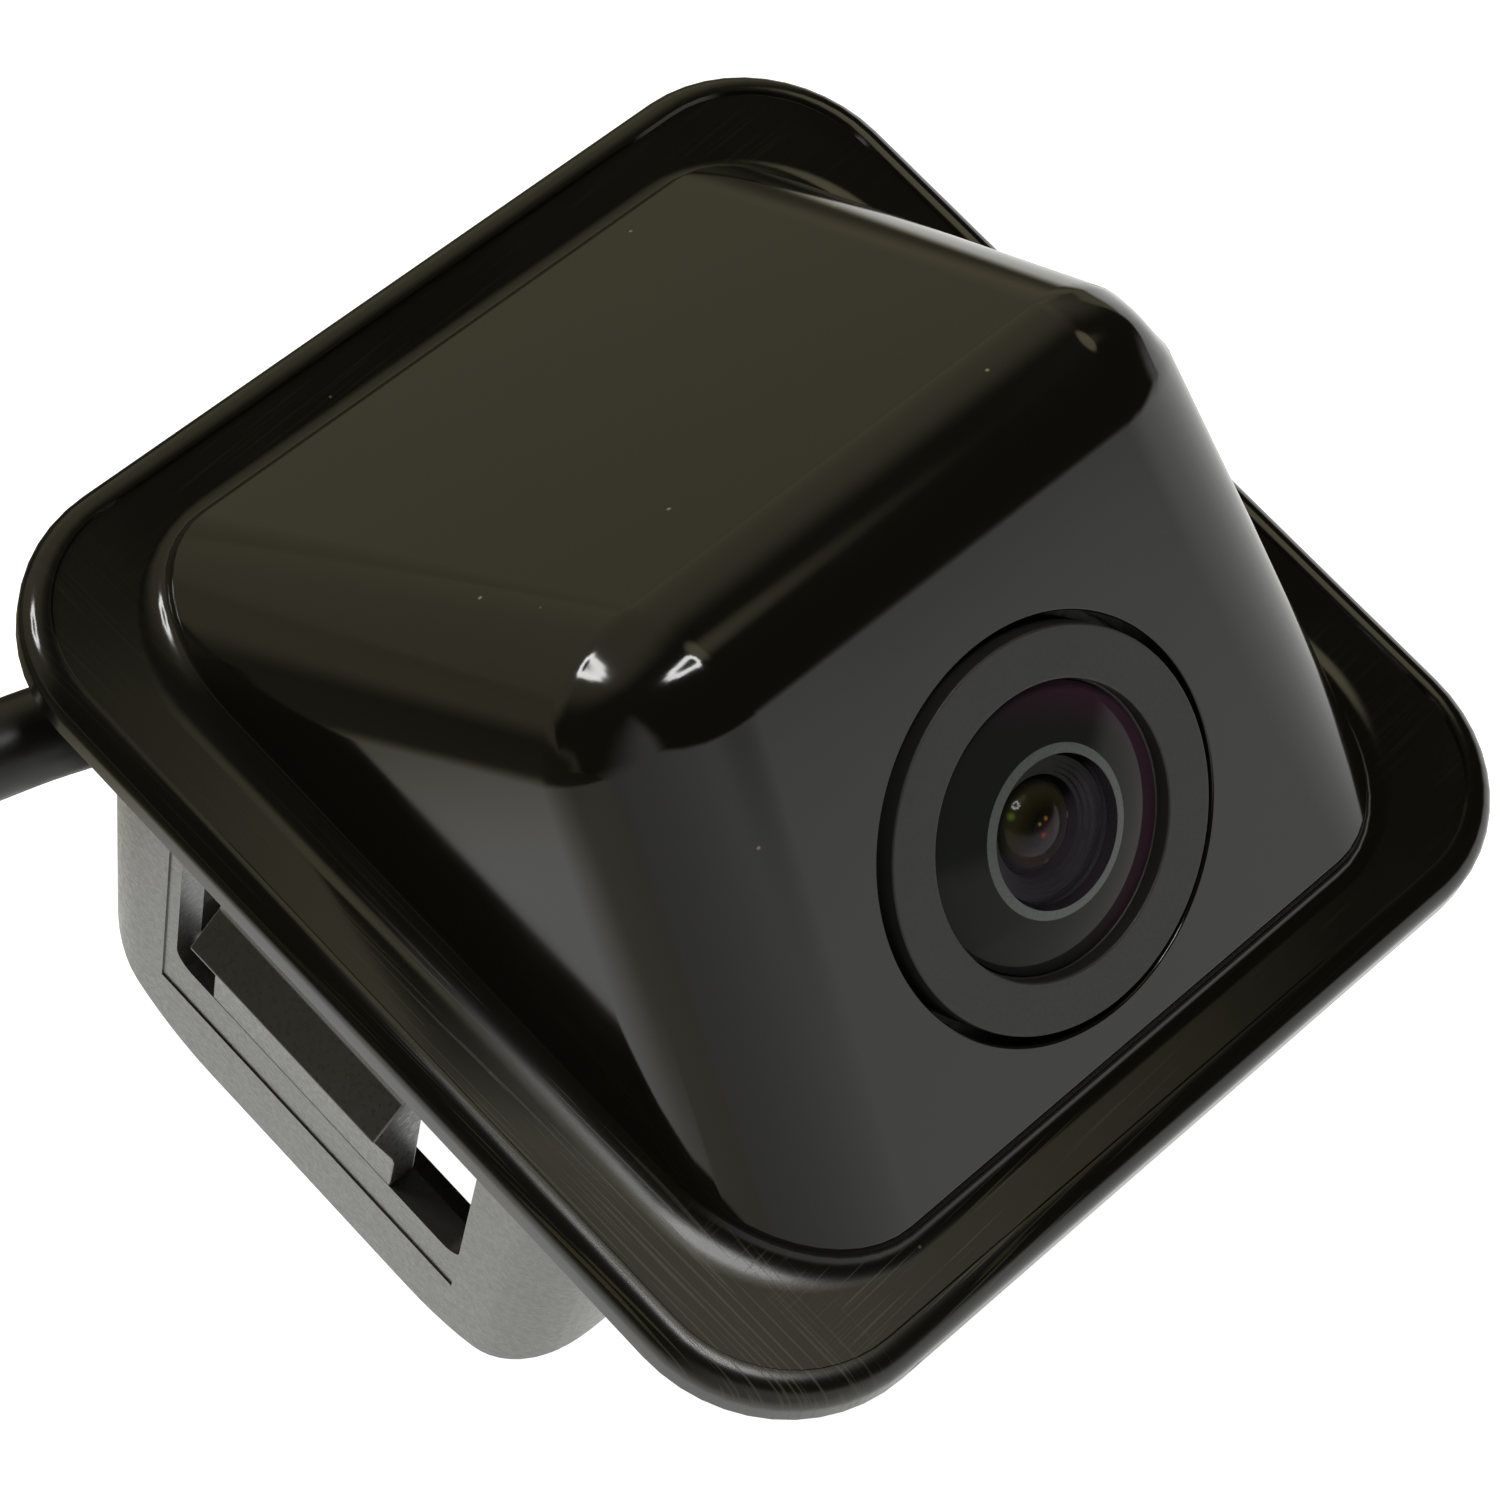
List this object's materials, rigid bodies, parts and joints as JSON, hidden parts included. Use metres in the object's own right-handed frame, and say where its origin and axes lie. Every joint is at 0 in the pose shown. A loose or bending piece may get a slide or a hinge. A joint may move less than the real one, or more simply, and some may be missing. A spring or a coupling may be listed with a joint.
{
  "type": "backup camera",
  "caption": "Flush-mount vehicle backup camera: glossy wedge cover on a square flange, sealed wide-angle module, snap-in bracket, coiled pigtail with sealed connector.",
  "frame": {"origin": "centre of the object's footprint, at the height of the bracket's foot, which the object stands on", "axes": "+Z is the outward normal of the panel, through the cover; +X runs across the object; the lens looks towards -Y and +Z; the cable leaves towards -X and +Y"},
  "size_m": [0.0743, 0.1608, 0.0544],
  "materials": {
    "cover_abs": "high-gloss moulded ABS, black with a faint warm cast",
    "bracket_nylon": "satin moulded nylon, black",
    "camera_black": "fine matte moulded PBT, black",
    "ring_black": "fine matte moulded ring, black",
    "lens_glass": "polished wide-angle lens with a purple coating",
    "clear_glass": "polished inner lens with a green coating",
    "filter_glass": "coated filter plate",
    "barrel_aluminium": "black anodised",
    "seal_rubber": "moulded, dull black",
    "foam": "closed-cell foam, black",
    "board_green": "solder mask over glass-epoxy board",
    "chip_ceramic": "dark ceramic package",
    "connector_white": "moulded, ivory",
    "screw_steel": "zinc-plated steel",
    "cable_pvc": "extruded PVC jacket, satin black",
    "tie_nylon": "nylon strap, black",
    "plug_grey": "moulded PBT, dark grey",
    "pin_brass": "tin-flashed brass"
  },
  "bodies": {
    "root": {"front_cover": "cover_abs", "mounting_bracket": "bracket_nylon", "cover_screw_1": "screw_steel", "cover_screw_2": "screw_steel", "cover_screw_3": "screw_steel", "cover_screw_4": "screw_steel", "seal_strip_upper": "foam", "seal_strip_lower": "foam", "camera_case_front": "camera_black", "camera_case_rear": "camera_black", "case_screw_1": "screw_steel", "case_screw_2": "screw_steel", "case_screw_3": "screw_steel", "case_screw_4": "screw_steel", "lens_ring": "ring_black", "front_lens": "lens_glass", "lens_barrel": "barrel_aluminium", "lens_o_ring": "seal_rubber", "second_lens": "clear_glass", "lens_spacer": "barrel_aluminium", "third_lens": "clear_glass", "aperture_ring": "barrel_aluminium", "fourth_lens": "clear_glass", "ir_filter": "filter_glass", "image_sensor": "chip_ceramic", "sensor_board": "board_green", "main_board": "board_green", "board_connector": "connector_white", "lead_header": "connector_white", "cable_gland": "seal_rubber", "cable_lead": "cable_pvc", "cable_coil": "cable_pvc", "cable_tail": "cable_pvc", "coil_tie": "tie_nylon", "plug_housing": "plug_grey", "plug_boot": "seal_rubber", "plug_pin_1": "pin_brass", "plug_pin_2": "pin_brass", "plug_pin_3": "pin_brass", "plug_pin_4": "pin_brass"},
    "finger_left": {"snap_finger_left": "bracket_nylon"},
    "finger_right": {"snap_finger_right": "bracket_nylon"},
    "latch": {"plug_latch": "plug_grey"}
  },
  "joints": [
    {"name": "finger_left_bend", "type": "hinge", "parent": "root", "child": "finger_left", "pos_m": [-0.0247, 0.0041, 0.0108], "axis": [0, 1, 0], "range_deg": [0, 9], "stiffness_Nm_per_rad": 0.05},
    {"name": "finger_right_bend", "type": "hinge", "parent": "root", "child": "finger_right", "pos_m": [0.0247, 0.0041, 0.0108], "axis": [0, -1, 0], "range_deg": [0, 9], "stiffness_Nm_per_rad": 0.05},
    {"name": "latch_rock", "type": "hinge", "parent": "root", "child": "latch", "pos_m": [0.0017, 0.0952, 0.0106], "axis": [-1, 0, 0], "range_deg": [0, 6], "stiffness_Nm_per_rad": 0.01}
  ]
}
